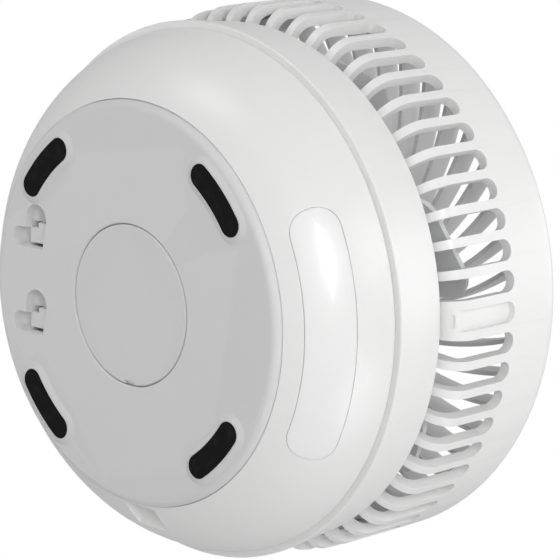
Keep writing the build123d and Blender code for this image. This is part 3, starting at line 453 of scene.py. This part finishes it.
for node, radius in edgeRadii.items():
    rounded(node, radius)
print("mouldings rounded,", len(edgeRadii))

# studio: a pale floor well below, white all round, soft round lamps that face the object
studio = {
    "floorHeight": -0.9,
    "floorSize": 14.0,
    "floorColour": (0.86, 0.86, 0.86),
    "worldLight": 0.5,
}
# each lamp: degrees round from +X, degrees up from level, watts
lampDistance = 1.7
lampSize = 0.9
lamps = {
    "feetLamp": {"turn": -110, "rise": -40, "power": 30.0},
    "hingeLamp": {"turn": 90, "rise": -45, "power": 28.0},
    "windowLamp": {"turn": -110, "rise": 10, "power": 5.0},
    "frontLamp": {"turn": -95, "rise": 65, "power": 5.0},
    "sideLamp": {"turn": 160, "rise": -30, "power": 5.0},
    "portLamp": {"turn": -55, "rise": 0, "power": 4.0},
}


def towards(turn, rise):
    turn, rise = math.radians(turn), math.radians(rise)
    return Vector((math.cos(rise) * math.cos(turn), math.cos(rise) * math.sin(turn), math.sin(rise)))


def makeStudio():
    ring = bmesh.new()
    bmesh.ops.create_circle(ring, cap_ends=True, segments=96, radius=studio["floorSize"])
    mesh = bpy.data.meshes.new("floor")
    ring.to_mesh(mesh)
    ring.free()
    floor = bpy.data.objects.new("floor", mesh)
    floor.location.z = studio["floorHeight"]
    bpy.context.scene.collection.objects.link(floor)
    graph = Graph("floorPaint")
    mottle = graph.noise(0.4, 2)
    graph.set(
        baseColor=graph.mix(mottle, shade(studio["floorColour"], 0.99), studio["floorColour"]),
        roughness=0.8,
    )
    mesh.materials.append(graph.material)
    world = bpy.data.worlds.new("studioWorld")
    world.use_nodes = True
    tree = world.node_tree
    seen = tree.nodes.new("ShaderNodeBackground")
    seen.inputs[0].default_value = (1, 1, 1, 1)
    lit = tree.nodes["Background"]
    lit.inputs[0].default_value = (1, 1, 1, 1)
    lit.inputs[1].default_value = studio["worldLight"]
    choose = tree.nodes.new("ShaderNodeMixShader")
    path = tree.nodes.new("ShaderNodeLightPath")
    tree.links.new(path.outputs["Is Camera Ray"], choose.inputs[0])
    tree.links.new(lit.outputs[0], choose.inputs[1])
    tree.links.new(seen.outputs[0], choose.inputs[2])
    tree.links.new(choose.outputs[0], tree.nodes["World Output"].inputs[0])
    bpy.context.scene.world = world
    middle = (cadLow + cadHigh) / 2
    for name, look in lamps.items():
        data = bpy.data.lights.new(name, "AREA")
        data.shape = "DISK"
        data.size = lampSize
        data.energy = look["power"]
        lamp = bpy.data.objects.new(name, data)
        lamp.location = middle + towards(look["turn"], look["rise"]) * lampDistance
        lamp.rotation_mode = "QUATERNION"
        lamp.rotation_quaternion = (middle - lamp.location).to_track_quat("-Z", "Y")
        bpy.context.scene.collection.objects.link(lamp)


makeStudio()

# the camera looks up at the feet from the window's side, turned so that the far side is up
cameraLook = {
    "aim": (-0.0032, -0.0153, 0.0567),
    "turn": -106.9,
    "rise": -44.3,
    "distance": 0.96,
    "roll": 78.8,
    "lens": 182,
    "sensor": 36,
    "farthest": 100,
}


def makeCamera():
    data = bpy.data.cameras.new("camera")
    data.sensor_width = cameraLook["sensor"]
    data.lens = cameraLook["lens"]
    data.clip_end = cameraLook["farthest"]
    camera = bpy.data.objects.new("camera", data)
    aim = Vector(cameraLook["aim"])
    camera.location = aim + towards(cameraLook["turn"], cameraLook["rise"]) * cameraLook["distance"]
    sight = aim - camera.location
    turn = Quaternion((0, 0, 1), math.radians(cameraLook["roll"]))
    camera.rotation_mode = "QUATERNION"
    camera.rotation_quaternion = sight.to_track_quat("-Z", "Y") @ turn
    bpy.context.scene.collection.objects.link(camera)
    bpy.context.scene.camera = camera
    bpy.context.scene.view_settings.view_transform = "Standard"


makeCamera()
print("studio and camera set")
